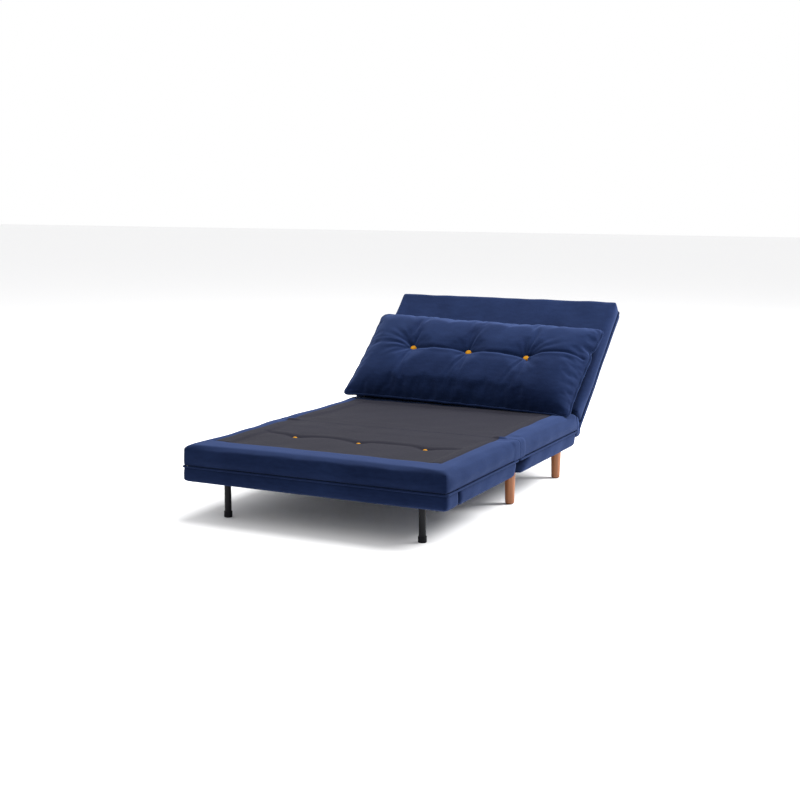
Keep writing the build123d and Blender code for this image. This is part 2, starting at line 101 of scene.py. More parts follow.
def makeStage():
    bm = bmesh.new()
    bmesh.ops.create_grid(bm, x_segments=2, y_segments=2, size=stage["size"] / 2)
    floor = newObject("studioFloor", bm)
    mat = bpy.data.materials.new("paleFloor")
    mat.use_nodes = True
    shader = mat.node_tree.nodes["Principled BSDF"]
    shader.inputs["Base Color"].default_value = (*stage["floor"], 1)
    shader.inputs["Roughness"].default_value = stage["floorRough"]
    floor.data.materials.append(mat)
    world = bpy.data.worlds.new("studioWorld")
    world.use_nodes = True
    world.node_tree.nodes["Background"].inputs["Color"].default_value = (*stage["world"], 1)
    world.node_tree.nodes["Background"].inputs["Strength"].default_value = stage["worldPower"]
    scene.world = world
    for spec in lights:
        data = bpy.data.lights.new(spec["name"], "AREA")
        data.shape = "DISK"
        data.size = spec["size"]
        data.energy = spec["power"]
        lamp = bpy.data.objects.new(spec["name"], data)
        scene.collection.objects.link(lamp)
        lamp.location = spec["place"]
        away = Vector(spec["aim"]) - Vector(spec["place"])
        lamp.rotation_euler = away.to_track_quat("-Z", "Y").to_euler()


# mesh helpers
def newObject(name, bm, materials=()):
    mesh = bpy.data.meshes.new(name)
    bm.to_mesh(mesh)
    bm.free()
    ob = bpy.data.objects.new(name, mesh)
    scene.collection.objects.link(ob)
    for mat in materials:
        mesh.materials.append(mat)
    return ob


def applyAll(ob):
    graph = bpy.context.evaluated_depsgraph_get()
    mesh = bpy.data.meshes.new_from_object(ob.evaluated_get(graph))
    old = ob.data
    ob.modifiers.clear()
    ob.data = mesh
    bpy.data.meshes.remove(old)
    ob.data.name = ob.name


def getPoints(mesh):
    co = np.zeros(len(mesh.vertices) * 3, np.float32)
    mesh.vertices.foreach_get("co", co)
    return co.reshape(-1, 3).astype(float)


def setPoints(mesh, co):
    mesh.vertices.foreach_set("co", co.astype(np.float32).ravel())
    mesh.update()


def getNormals(mesh):
    no = np.zeros(len(mesh.vertices) * 3, np.float32)
    mesh.vertices.foreach_get("normal", no)
    return no.reshape(-1, 3).astype(float)


def bump(d, width):
    return np.exp(-((d / width) ** 2))


def ease(x, a, b):
    t = np.clip((x - a) / (b - a), 0, 1)
    return t * t * (3 - 2 * t)


def ripple(p, size, seed):
    # slow uneven waves, the same every run
    waves = 7
    rng = np.random.default_rng(seed)
    total = np.zeros(len(p))
    for _ in range(waves):
        way = rng.normal(size=3)
        way /= np.linalg.norm(way)
        total += np.sin(p @ way * 2 * math.pi / (size * rng.uniform(0.6, 1.6)) + rng.uniform(0, 6.28))
    return total / (waves / 2)


def softBox(bm, lo, hi, upright, crown, foot, slant=0.0, footSlant=0.0, square=None):
    # a block with rounded corners, a rounder top edge and a foot edge tucked in; square is an end left sharp
    part = bmesh.new()
    bmesh.ops.create_cube(part, size=1.0)
    bmesh.ops.scale(part, vec=Vector(hi) - Vector(lo), verts=part.verts)
    bmesh.ops.translate(part, vec=(Vector(hi) + Vector(lo)) / 2, verts=part.verts)
    if slant:
        front = [v for v in part.verts if v.co.y < (lo[1] + hi[1]) / 2 and v.co.z > (lo[2] + hi[2]) / 2]
        bmesh.ops.translate(part, vec=(0, slant, 0), verts=front)
    if footSlant:
        rear = [v for v in part.verts if v.co.y > (lo[1] + hi[1]) / 2 and v.co.z < (lo[2] + hi[2]) / 2]
        bmesh.ops.translate(part, vec=(0, footSlant, 0), verts=rear)
    for offset, pick in (
        (upright, lambda e: abs(e.verts[0].co.z - e.verts[1].co.z) > 1e-4 and e.calc_length() > 0.01),
        (crown, lambda e: min(v.co.z for v in e.verts) > hi[2] - 1e-5 and e.calc_face_angle(0) > 0.5),
        (foot, lambda e: max(v.co.z for v in e.verts) < lo[2] + 1e-5 and e.calc_face_angle(0) > 0.5),
    ):
        edges = [e for e in part.edges if pick(e)]
        if square is not None:
            edges = [e for e in edges if max(abs(v.co.y - square) for v in e.verts) > 0.004]
        bmesh.ops.bevel(
            part, geom=edges, offset=offset, offset_type="OFFSET", segments=4, profile=0.5,
            affect="EDGES", clamp_overlap=True, material=-1,
        )
    mesh = bpy.data.meshes.new("blockPart")
    part.to_mesh(mesh)
    part.free()
    bm.from_mesh(mesh)
    bpy.data.meshes.remove(mesh)


def remesh(ob, voxel):
    mod = ob.modifiers.new("evenMesh", "REMESH")
    mod.mode = "VOXEL"
    mod.voxel_size = voxel
    applyAll(ob)


def relax(ob, times):
    bm = bmesh.new()
    bm.from_mesh(ob.data)
    for _ in range(times):
        bmesh.ops.smooth_vert(
            bm, verts=bm.verts, factor=0.5, use_axis_x=True, use_axis_y=True, use_axis_z=True,
        )
    bm.to_mesh(ob.data)
    bm.free()


def inflate(ob, held, spec):
    # cloth under pressure, with the seams and tufts held
    group = ob.vertex_groups.new(name="held")
    group.add([int(i) for i in np.nonzero(held)[0]], 1.0, "REPLACE")
    start = getPoints(ob.data)
    cloth = ob.modifiers.new("stuffing", "CLOTH")
    cloth.settings.quality = 4
    cloth.settings.use_pressure = True
    cloth.settings.uniform_pressure_force = spec["pressure"]
    cloth.settings.vertex_group_mass = "held"
    cloth.settings.effector_weights.gravity = 0
    cloth.settings.shrink_min = spec.get("slack", 0.0)
    cloth.settings.tension_stiffness = spec.get("stiff", 15)
    cloth.settings.compression_stiffness = spec.get("stiff", 15)
    cloth.settings.bending_stiffness = spec.get("bend", 0.5)
    cloth.collision_settings.use_collision = False
    cloth.point_cache.frame_start = 1
    cloth.point_cache.frame_end = spec["frames"]
    for f in range(1, spec["frames"] + 1):
        scene.frame_set(f)
    graph = bpy.context.evaluated_depsgraph_get()
    moved = getPoints(ob.evaluated_get(graph).data) - start
    far = np.linalg.norm(moved, axis=1)
    moved *= np.minimum(1.0, spec["cap"] / np.maximum(far, 1e-9))[:, None]
    ob.modifiers.clear()
    ob.vertex_groups.clear()
    setPoints(ob.data, start + moved)
    scene.frame_set(1)


def subdivide(ob):
    mod = ob.modifiers.new("finer", "SUBSURF")
    mod.levels = 1
    mod.render_levels = 1
    applyAll(ob)


def finishPiece(ob, body, replaced=()):
    ob.data.polygons.foreach_set("use_smooth", [True] * len(ob.data.polygons))
    if replaced:
        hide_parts(*replaced)
    if body:
        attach(ob, body)
    print("made", ob.name, len(ob.data.polygons), "faces", round(time.time() - began, 1), "s")


# materials
def node(tree, kind, place, **values):
    n = tree.nodes.new(kind)
    n.location = place
    for key, value in values.items():
        setattr(n, key, value)
    return n


def noise(tree, source, scale, detail, place, stretch=(1, 1, 1)):
    mapping = node(tree, "ShaderNodeMapping", (place[0] - 180, place[1]))
    mapping.inputs["Scale"].default_value = stretch
    tree.links.new(source, mapping.inputs["Vector"])
    n = node(tree, "ShaderNodeTexNoise", place)
    n.inputs["Scale"].default_value = scale
    n.inputs["Detail"].default_value = detail
    tree.links.new(mapping.outputs["Vector"], n.inputs["Vector"])
    return n.outputs["Fac"]


def mixColor(tree, factor, a, b, place):
    n = node(tree, "ShaderNodeMix", place, data_type="RGBA", blend_type="MIX")
    for value, socket in ((factor, n.inputs[0]), (a, n.inputs[6]), (b, n.inputs[7])):
        if isinstance(value, bpy.types.NodeSocket):
            tree.links.new(value, socket)
        elif isinstance(value, tuple):
            socket.default_value = (*value, 1)
        else:
            socket.default_value = value
    return n.outputs[2]


def mathNode(tree, operation, a, b, place, clamp=False):
    n = node(tree, "ShaderNodeMath", place, operation=operation, use_clamp=clamp)
    for value, socket in ((a, n.inputs[0]), (b, n.inputs[1])):
        if isinstance(value, bpy.types.NodeSocket):
            tree.links.new(value, socket)
        else:
            socket.default_value = value
    return n.outputs[0]


def addBump(tree, height, strength, distance, place, under=None):
    n = node(tree, "ShaderNodeBump", place)
    n.inputs["Strength"].default_value = strength
    n.inputs["Distance"].default_value = distance
    tree.links.new(height, n.inputs["Height"])
    if under is not None:
        tree.links.new(under, n.inputs["Normal"])
    return n.outputs["Normal"]


# dark and light are the velvet's own tones; the edge colour and the rim values paint a sheen into the base colour,
# lighter at grazing angles
velvet = {
    "dark": (0.0028, 0.0060, 0.0215), "light": (0.0072, 0.0145, 0.0450), "edge": (0.032, 0.050, 0.125),
    "rough": 0.85, "specular": 0.02, "sheen": 0.03, "sheenRough": 0.45, "sheenTint": (0.35, 0.50, 0.90),
    "rim": 0.85, "paintedSheenPower": 1.4, "paintedSheenBlend": 0.35, "cloudSize": 5.0, "brushSize": 26.0, "pileSize": 420.0,
    "crushSize": 60.0, "cloudShare": 0.62, "napLow": 0.30, "napGain": 2.4, "speck": 0.30,
}


def velvetMaterial(name, colours):
    mat = bpy.data.materials.new(name)
    mat.use_nodes = True
    tree = mat.node_tree
    shader = tree.nodes["Principled BSDF"]
    where = node(tree, "ShaderNodeTexCoord", (-1300, 0)).outputs["Object"]
    cloud = noise(tree, where, colours["cloudSize"], 4.0, (-900, 300))
    brush = noise(tree, where, colours["brushSize"], 3.0, (-900, 60), stretch=(1.0, 1.0, 3.5))
    pile = noise(tree, where, colours["pileSize"], 2.0, (-900, -180))
    crush = noise(tree, where, colours["crushSize"], 3.0, (-900, -420), stretch=(1.0, 1.6, 1.0))
    nap = mathNode(tree, "MULTIPLY", cloud, colours["cloudShare"], (-640, 300))
    strokes = mathNode(tree, "MULTIPLY", brush, 1 - colours["cloudShare"], (-640, 140))
    nap = mathNode(tree, "ADD", nap, strokes, (-480, 260))
    nap = mathNode(tree, "SUBTRACT", nap, colours["napLow"], (-340, 260))
    nap = mathNode(tree, "MULTIPLY", nap, colours["napGain"], (-200, 260), clamp=True)
    colour = mixColor(tree, nap, colours["dark"], colours["light"], (-40, 260))
    speck = mathNode(tree, "MULTIPLY", pile, colours["speck"], (-340, 60))
    colour = mixColor(tree, speck, colour, colours["dark"], (120, 220))
    # painted sheen: Layer Weight's facing mixes the base colour towards the lighter edge colour at grazing angles
    facing = node(tree, "ShaderNodeLayerWeight", (-340, 460))
    facing.inputs["Blend"].default_value = colours["paintedSheenBlend"]
    rim = mathNode(tree, "POWER", facing.outputs["Facing"], colours["paintedSheenPower"], (-160, 460))
    rim = mathNode(tree, "MULTIPLY", rim, colours["rim"], (0, 460), clamp=True)
    colour = mixColor(tree, rim, colour, colours["edge"], (300, 260))
    tree.links.new(colour, shader.inputs["Base Color"])
    shader.inputs["Roughness"].default_value = colours["rough"]
    shader.inputs["Sheen Weight"].default_value = colours["sheen"]
    shader.inputs["Sheen Roughness"].default_value = colours["sheenRough"]
    shader.inputs["Sheen Tint"].default_value = (*colours["sheenTint"], 1)
    shader.inputs["Specular IOR Level"].default_value = colours["specular"]
    first = addBump(tree, crush, 0.18, 0.004, (0, -200))
    second = addBump(tree, pile, 0.25, 0.0012, (180, -200), first)
    tree.links.new(second, shader.inputs["Normal"])
    return mat


lining = {
    "dark": (0.0056, 0.0054, 0.0098), "light": (0.0112, 0.0108, 0.0185), "rough": 0.85,
    "specular": 0.06, "sheen": 0.03, "weave": 260.0, "cloudShare": 0.6,
}


def liningMaterial():
    mat = bpy.data.materials.new("charcoalLining")
    mat.use_nodes = True
    tree = mat.node_tree
    shader = tree.nodes["Principled BSDF"]
    where = node(tree, "ShaderNodeTexCoord", (-1300, 0)).outputs["Object"]
    cloud = noise(tree, where, 4.0, 3.0, (-900, 300))
    slub = noise(tree, where, 120.0, 2.0, (-900, 60), stretch=(0.25, 6.0, 1.0))
    warp = node(tree, "ShaderNodeTexWave", (-900, -160), wave_type="BANDS", bands_direction="X")
    weft = node(tree, "ShaderNodeTexWave", (-900, -400), wave_type="BANDS", bands_direction="Y")
    for band in (warp, weft):
        band.inputs["Scale"].default_value = lining["weave"]
        band.inputs["Distortion"].default_value = 0.6
        tree.links.new(where, band.inputs["Vector"])
    clouds = mathNode(tree, "MULTIPLY", cloud, lining["cloudShare"], (-640, 300))
    slubs = mathNode(tree, "MULTIPLY", slub, 1 - lining["cloudShare"], (-640, 120))
    fac = mathNode(tree, "ADD", clouds, slubs, (-460, 240))
    colour = mixColor(tree, fac, lining["dark"], lining["light"], (-200, 240))
    weave = mathNode(tree, "MULTIPLY", warp.outputs["Fac"], weft.outputs["Fac"], (-640, -240))
    tree.links.new(colour, shader.inputs["Base Color"])
    shader.inputs["Roughness"].default_value = lining["rough"]
    shader.inputs["Specular IOR Level"].default_value = lining["specular"]
    shader.inputs["Sheen Weight"].default_value = lining["sheen"]
    first = addBump(tree, weave, 0.18, 0.0006, (0, -200))
    second = addBump(tree, cloud, 0.12, 0.01, (180, -200), first)
    tree.links.new(second, shader.inputs["Normal"])
    return mat


buttonCloth = {"dark": (0.23, 0.095, 0.002), "light": (0.40, 0.180, 0.004), "rough": 0.75, "shine": 0.1}
roughSwing = 0.18


def plainMaterial(name, spec, scale, bumpSize, metallic=0.0):
    mat = bpy.data.materials.new(name)
    mat.use_nodes = True
    tree = mat.node_tree
    shader = tree.nodes["Principled BSDF"]
    where = node(tree, "ShaderNodeTexCoord", (-1000, 0)).outputs["Object"]
    grain = noise(tree, where, scale, 4.0, (-700, 200))
    fine = noise(tree, where, scale * 8, 2.0, (-700, -100))
    colour = mixColor(tree, grain, spec["dark"], spec["light"], (-300, 200))
    tree.links.new(colour, shader.inputs["Base Color"])
    rough = mathNode(tree, "MULTIPLY_ADD", grain, roughSwing, (-300, 0))
    rough.node.inputs[2].default_value = spec["rough"] - roughSwing / 2
    tree.links.new(rough, shader.inputs["Roughness"])
    shader.inputs["Metallic"].default_value = metallic
    shader.inputs["Specular IOR Level"].default_value = spec.get("shine", 0.5)
    tree.links.new(addBump(tree, fine, 0.25, bumpSize, (-100, -200)), shader.inputs["Normal"])
    return mat


wood = {"dark": (0.170, 0.052, 0.013), "light": (0.31, 0.108, 0.032), "rough": 0.55}
grainOf = {"figure": 28.0, "pore": 260.0, "ring": 22.0, "wander": 5.0, "poreAt": 0.60, "poreDark": 0.35}


def woodMaterial(name, spec):
    mat = bpy.data.materials.new(name)
    mat.use_nodes = True
    tree = mat.node_tree
    shader = tree.nodes["Principled BSDF"]
    where = node(tree, "ShaderNodeTexCoord", (-1300, 0)).outputs["Object"]
    figure = noise(tree, where, grainOf["figure"], 5.0, (-900, 300), stretch=(1.0, 1.0, 0.10))
    pore = noise(tree, where, grainOf["pore"], 3.0, (-900, 0), stretch=(1.0, 1.0, 0.05))
    ring = node(tree, "ShaderNodeTexWave", (-700, -260), wave_type="BANDS", bands_direction="X")
    ring.inputs["Scale"].default_value = grainOf["ring"]
    ring.inputs["Distortion"].default_value = grainOf["wander"]
    ring.inputs["Detail"].default_value = 3.0
    ringMap = node(tree, "ShaderNodeMapping", (-900, -260))
    ringMap.inputs["Scale"].default_value = (1.0, 1.0, 0.15)
    tree.links.new(where, ringMap.inputs["Vector"])
    tree.links.new(ringMap.outputs["Vector"], ring.inputs["Vector"])
    streaks = mathNode(tree, "MULTIPLY", figure, 0.6, (-560, 300))
    rings = mathNode(tree, "MULTIPLY", ring.outputs["Fac"], 0.4, (-560, 100))
    fac = mathNode(tree, "ADD", streaks, rings, (-380, 220))
    colour = mixColor(tree, fac, spec["dark"], spec["light"], (-180, 240))
    dots = mathNode(tree, "GREATER_THAN", pore, grainOf["poreAt"], (-560, -60))
    dots = mathNode(tree, "MULTIPLY", dots, grainOf["poreDark"], (-380, -40))
    colour = mixColor(tree, dots, colour, spec["dark"], (0, 200))
    tree.links.new(colour, shader.inputs["Base Color"])
    shader.inputs["Roughness"].default_value = spec["rough"]
    shader.inputs["Coat Weight"].default_value = 0.08
    shader.inputs["Coat Roughness"].default_value = 0.35
    tree.links.new(addBump(tree, pore, 0.2, 0.0005, (0, -200)), shader.inputs["Normal"])
    return mat


blackPaint = {
    "dark": (0.0015, 0.0015, 0.0030), "light": (0.0035, 0.0035, 0.0060), "rough": 0.40, "shine": 0.15,
}
blackPlastic = {
    "dark": (0.002, 0.002, 0.0035), "light": (0.005, 0.005, 0.0075), "rough": 0.6, "shine": 0.12,
}
steel = {"dark": (0.16, 0.16, 0.17), "light": (0.26, 0.26, 0.26), "rough": 0.42}
timber = {"dark": (0.48, 0.33, 0.19), "light": (0.68, 0.52, 0.34), "rough": 0.7}

makeStage()
velvetMat = velvetMaterial("navyVelvet", velvet)
liningMat = liningMaterial()
buttonMat = plainMaterial("mustardCloth", buttonCloth, 90.0, 0.0012)
woodMat = woodMaterial("turnedLegWood", wood)
timberMat = woodMaterial("frameTimber", timber)
paintMat = plainMaterial("blackLegPaint", blackPaint, 60.0, 0.0004)
plasticMat = plainMaterial("blackMouldedPlastic", blackPlastic, 120.0, 0.0006)
steelMat = plainMaterial("zincedSteel", steel, 80.0, 0.0004, metallic=1.0)
slotMats = {
    "navy_velvet": velvetMat, "charcoal_lining": liningMat, "mustard_buttons": buttonMat, "leg_wood": woodMat,
    "frame_timber": timberMat, "black_metal": paintMat, "black_plastic": plasticMat, "zinc_steel": steelMat,
}
for part in frame["record"]["subparts"]:
    mesh = frame["nodes"][part["node"]].data
    mesh.materials.clear()
    mesh.materials.append(slotMats[part["material_slot"]])
print("materials ready", round(time.time() - began, 1), "s")

# tops of the two flat sections
liningBox = [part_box("front_lining"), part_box("base_lining")]
liningHalf = liningBox[0][1].x
# the border is narrower on the left than on the right
leftBorderLess = 0.022
liningSides = (-liningHalf - leftBorderLess, liningHalf)
topZ = liningBox[0][1].z
top = {
    "voxel": 0.0095, "upright": 0.010, "crown": 0.016, "foot": 0.005, "low": 0.001,
    "sim": {"pressure": 2.6, "cap": 0.005, "frames": 9},
    "seamDeep": 0.0028, "seamWide": 0.0045, "tuftDeep": 0.011, "tuftWide": 0.030, "tuftHold": 0.012,
    "creaseDeep": 0.0032, "creaseWide": 0.007, "creaseRise": 0.026,
    "hollowDeep": 0.0035, "hollowWide": 0.030, "ridgeHigh": 0.0022, "ridgeOff": 0.022, "ridgeWide": 0.014,
    "bow": 0.004, "foldReach": 0.064, "foldEase": 0.024, "foldIn": 0.0016, "rearSlant": 0.014,
    "crownRoom": 0.003, "crownMost": 0.0025, "wave": 0.0012, "waveSize": 0.16,
    "sideWave": 0.0011, "sideWaveSize": 0.13,
}
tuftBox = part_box("lining_tufts")
tuftY = (tuftBox[0].y + tuftBox[1].y) / 2
tuftRadius = 0.006
tuftHalf = tuftBox[1].x - tuftRadius
tuftX = [-tuftHalf, 0.0, tuftHalf]


def creaseLine(x, spots, rise):
    # the height of the drawn-in line that runs through the tufts, arched between them
    step = spots[1] - spots[0]
    along = (x - spots[0]) / step
    part = along - np.floor(along)
    arch = 4 * part * (1 - part)
    return rise * np.clip(arch, 0, 1)


def topWave(p):
    # the slow waves of the covers' upper face
    return top["wave"] * ripple(p, top["waveSize"], 4) * ease(p[:, 2], topZ - 0.014, topZ - 0.007)


def topDetails(p, liningLow, liningHigh, tufted):
    x, y, z = p[:, 0], p[:, 1], p[:, 2]
    onTop = ease(z, topZ - 0.014, topZ - 0.007)
    edge = np.minimum(np.abs(x - liningSides[0]), np.abs(x - liningSides[1]))
    inside = (y > liningLow - 0.003) & (y < liningHigh + 0.003)
    drop = top["seamDeep"] * bump(edge, top["seamWide"]) * inside
    for line in (liningLow, liningHigh):
        if abs(line - foldPoint.y) > 0.05:
            across = (x > liningSides[0] - 0.003) & (x < liningSides[1] + 0.003)
            drop += top["seamDeep"] * bump(y - line, top["seamWide"]) * across
    p[:, 2] -= drop * onTop
    p[:, 2] += topWave(p)
    if tufted:
        for cx in tuftX:
            r = np.hypot(x - cx, (y - tuftY) * 1.15)
            p[:, 2] -= (top["tuftDeep"] * np.exp(-r / top["tuftWide"])) * onTop
        line = tuftY + creaseLine(x, tuftX, top["creaseRise"])
        fade = ease(liningHalf - np.abs(x), 0.0, 0.09)
        d = y - line
        p[:, 2] -= top["creaseDeep"] * bump(d, top["creaseWide"]) * fade * onTop
        p[:, 2] -= top["hollowDeep"] * bump(d, top["hollowWide"]) * fade * onTop
        p[:, 2] += top["ridgeHigh"] * bump(d - top["ridgeOff"], top["ridgeWide"]) * fade * onTop
    return p


def snapSeam(p, liningLow, liningHigh, step):
    # the points nearest to the lining's seam move on to it, so the two cloths meet in a clean line
    onTop = p[:, 2] > topZ - 0.012
    reach = step * 0.48
    for line in liningSides:
        near = onTop & (np.abs(p[:, 0] - line) < reach)
        p[near, 0] = line
    for line in (liningLow, liningHigh):
        near = onTop & (np.abs(p[:, 1] - line) < reach)
        p[near, 1] = line
    return p


def paintLining(ob, liningLow, liningHigh):
    centres = np.zeros(len(ob.data.polygons) * 3, np.float32)
    ob.data.polygons.foreach_get("center", centres)
    c = centres.reshape(-1, 3)
    mask = (c[:, 0] > liningSides[0]) & (c[:, 0] < liningSides[1]) & (c[:, 1] > liningLow)
    mask &= (c[:, 1] < liningHigh) & (c[:, 2] > topZ - 0.022)
    ob.data.polygons.foreach_set("material_index", mask.astype(np.int32))


def foldSection(x, z, low, half):
    # distance from the section at the fold, which bows at the sides, and the way out from it
    r = top["crown"]
    bow = top["bow"] * np.sin(np.clip((z - low) / (topZ - low), 0, 1) * math.pi)
    qx, qz = np.abs(x) - bow - (half - r), z - (topZ - r)
    corner = (qx > 0) & (qz > 0)
    length = np.maximum(np.hypot(qx, qz), 1e-9)
    d = np.where(corner, length, np.maximum(qx, qz)) - r
    nx = np.where(corner, qx / length, (qx > qz) * 1.0) * np.sign(x)
    nz = np.where(corner, qz / length, (qz >= qx) * 1.0)
    return d, nx, nz


fold = {"skin": 0.0005, "extra": 0.012}


def cutAtFold(ob, isFront):
    # a crisp flat end that shuts against the other section
    side = -1 if isFront else 1
    bm = bmesh.new()
    bm.from_mesh(ob.data)
    geom = list(bm.verts) + list(bm.edges) + list(bm.faces)
    end = (0, foldPoint.y + side * fold["skin"], 0)
    cut = bmesh.ops.bisect_plane(
        bm, geom=geom, dist=1e-6, plane_co=end, plane_no=(0, -side, 0), clear_outer=True,
    )
    rim = [e for e in cut["geom_cut"] if isinstance(e, bmesh.types.BMEdge)]
    cap = bmesh.ops.holes_fill(bm, edges=rim, sides=0)["faces"]
    for f in bmesh.ops.triangulate(bm, faces=cap)["faces"]:
        f.material_index = 0
    bm.to_mesh(ob.data)
    bm.free()


def makeTop(name, cadNode, body, liningLow, liningHigh, tufted, replaced):
    lo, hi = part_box(cadNode)
    low = Vector((lo.x + top["low"], lo.y + top["low"], lo.z + 0.001))
    high = Vector((hi.x - top["low"], hi.y - top["low"], topZ - top["crownRoom"]))
    isFront = hi.y < foldPoint.y
    foldEnd = foldPoint.y + (fold["extra"] if isFront else -fold["extra"])
    if isFront:
        high.y = foldEnd
    else:
        low.y = foldEnd
    bm = bmesh.new()
    footSlant = 0.0 if isFront else top["rearSlant"]
    softBox(bm, low, high, top["upright"], top["crown"], top["foot"], 0.0, footSlant, foldEnd)
    ob = newObject(name, bm, (velvetMat, liningMat))
    remesh(ob, top["voxel"])
    p = getPoints(ob.data)
    flat = (p[:, 2] > low.z + 0.02) & (np.abs(p[:, 1] - foldPoint.y) > 0.03)
    if tufted:
        for cx in tuftX:
            flat &= np.hypot(p[:, 0] - cx, p[:, 1] - tuftY) > top["tuftHold"]
    inner = (np.abs(p[:, 0]) < 0.40) & (np.abs(p[:, 1] - (low.y + high.y) / 2) < 0.2)
    inner &= p[:, 2] > topZ - 0.01
    inflate(ob, ~flat | inner, top["sim"])
    subdivide(ob)
    p = getPoints(ob.data)
    p[:, 2] = np.minimum(p[:, 2], topZ + top["crownMost"])
    p = snapSeam(p, liningLow, liningHigh, top["voxel"] / 2)
    n = getNormals(ob.data)
    upright = 1 - ease(np.abs(n[:, 2]), 0.2, 0.7)
    p += n * (top["sideWave"] * ripple(p, top["sideWaveSize"], 8) * upright)[:, None]
    # both sections meet the fold at the same height and the same bowed side
    near = ease(top["foldReach"] - np.abs(p[:, 1] - foldPoint.y), 0.0, top["foldEase"])
    d, nx, nz = foldSection(p[:, 0], p[:, 2], lo.z, hi.x)
    shift = np.where((np.abs(d) < 0.014) & (p[:, 2] > lo.z + 0.004), d + top["foldIn"], 0) * near
    p[:, 0] -= nx * shift
    p[:, 2] -= nz * shift
    p = topDetails(p, liningLow, liningHigh, tufted)
    setPoints(ob.data, p)
    paintLining(ob, liningLow, liningHigh)
    cutAtFold(ob, isFront)
    finishPiece(ob, body, replaced)
    return ob


# the lining runs past the fold on both covers, which the cut then trims
frontLow, frontHigh = liningBox[0][0].y, foldPoint.y + 0.02
baseLow, baseHigh = foldPoint.y - 0.02, liningBox[1][1].y
makeTop("frontMattressCover", "front_mattress", "front_section", frontLow, frontHigh, True,
        ("front_mattress", "front_border", "front_lining"))
makeTop("baseMattressCover", "base_mattress", "base", baseLow, baseHigh, False,
        ("base_mattress", "base_border", "base_lining"))

# cloth carried over the fold, on top and down both sides
strip = {
    "down": 0.018, "reach": 0.026, "in": 0.0011, "dip": 0.0010, "dipWide": 0.006,
    "tuck": 0.0024, "tuckShare": 0.42, "thick": 0.001, "rows": 30,
    "leafAt": 0.440, "leafHalf": 0.030, "leafReach": 0.0095, "leafRise": 0.0046,
}


def makeFoldStrip():
    lo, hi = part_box("front_mattress")
    r = top["crown"]
    low = topZ - strip["down"]
    sides, arc = topZ - r - low, r * math.pi / 2
    # length and number of cells of each stretch, from the foot on the left to the foot on the right
    spans = (
        (sides, 12), (arc, 8), (hi.x - r + liningSides[0], 9), (liningSides[1] - liningSides[0], 96),
        (hi.x - r - liningSides[1], 9), (arc, 8), (sides, 12),
    )
    cells = [0.0]
    for span, count in spans:
        cells += [cells[-1] + span * (i + 1) / count for i in range(count)]
    bm = bmesh.new()
    bmesh.ops.create_grid(bm, x_segments=len(cells) - 1, y_segments=strip["rows"], size=1.0)
    for v in bm.verts:
        t = v.co.y
        run = cells[int(round((v.co.x + 1) / 2 * (len(cells) - 1)))]
        side = 1 if run > cells[-1] / 2 else -1
        q = cells[-1] - run if side > 0 else run
        if q < sides:
            x, z = hi.x, low + q
        elif q < sides + arc:
            a = (q - sides) / r
            x, z = hi.x - r + r * math.cos(a), topZ - r + r * math.sin(a)
        else:
            x, z = hi.x - r - (q - sides - arc), topZ
        d, nx, nz = [float(k[0]) for k in foldSection(np.array([x]), np.array([z]), lo.z, hi.x)]
        y = foldPoint.y + t * strip["reach"]
        depth = strip["dip"] * math.exp(-(((y - foldPoint.y) / strip["dipWide"]) ** 2))
        depth += strip["tuck"] * math.exp(-(((1 - abs(t)) / strip["tuckShare"]) ** 2)) + strip["in"]
        if nz > 0.9:
            seam = side * x - liningSides[side > 0]
            depth += top["seamDeep"] * math.exp(-((seam / top["seamWide"]) ** 2))
            leaf = math.exp(-(((abs(x) - strip["leafAt"]) / strip["leafHalf"]) ** 6))
            leaf *= math.exp(-(((y - foldPoint.y) / strip["leafReach"]) ** 2))
            depth = depth * (1 - leaf) - strip["leafRise"] * leaf
        v.co = (side * (x - nx * (d + depth)), y, z - nz * (d + depth))
    bmesh.ops.recalc_face_normals(bm, faces=bm.faces)
    ob = newObject("foldCloth", bm, (velvetMat, liningMat))
    p = getPoints(ob.data)
    p[:, 2] += topWave(p)
    setPoints(ob.data, p)
    mod = ob.modifiers.new("clothThickness", "SOLIDIFY")
    mod.thickness = strip["thick"]
    mod.offset = -1
    applyAll(ob)
    paintLining(ob, -9, 9)
    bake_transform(ob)
    finishPiece(ob, None)
    return ob


makeFoldStrip()

# lower layers
lower = {
    "voxel": 0.0095, "in": 0.001, "upright": 0.009, "crown": 0.005, "foot": 0.012, "waveSize": 0.11,
    "notch": 0.052, "sim": {"pressure": 2.6, "cap": 0.004, "frames": 8},
}


seatTufts = {"deep": 0.007, "wide": 0.026, "radius": 0.013, "high": 0.007, "cadRadius": 0.012}
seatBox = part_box("seat_buttons")
seatY = (seatBox[0].y + seatBox[1].y) / 2
seatX = [seatBox[0].x + seatTufts["cadRadius"], 0.0, seatBox[1].x - seatTufts["cadRadius"]]


def seatDimples(p):
    low = p[:, 2] < seatBox[1].z + 0.012
    for cx in seatX:
        r = np.hypot(p[:, 0] - cx, p[:, 1] - seatY)
        p[:, 2] += seatTufts["deep"] * np.exp(-r / seatTufts["wide"]) * low
    return p


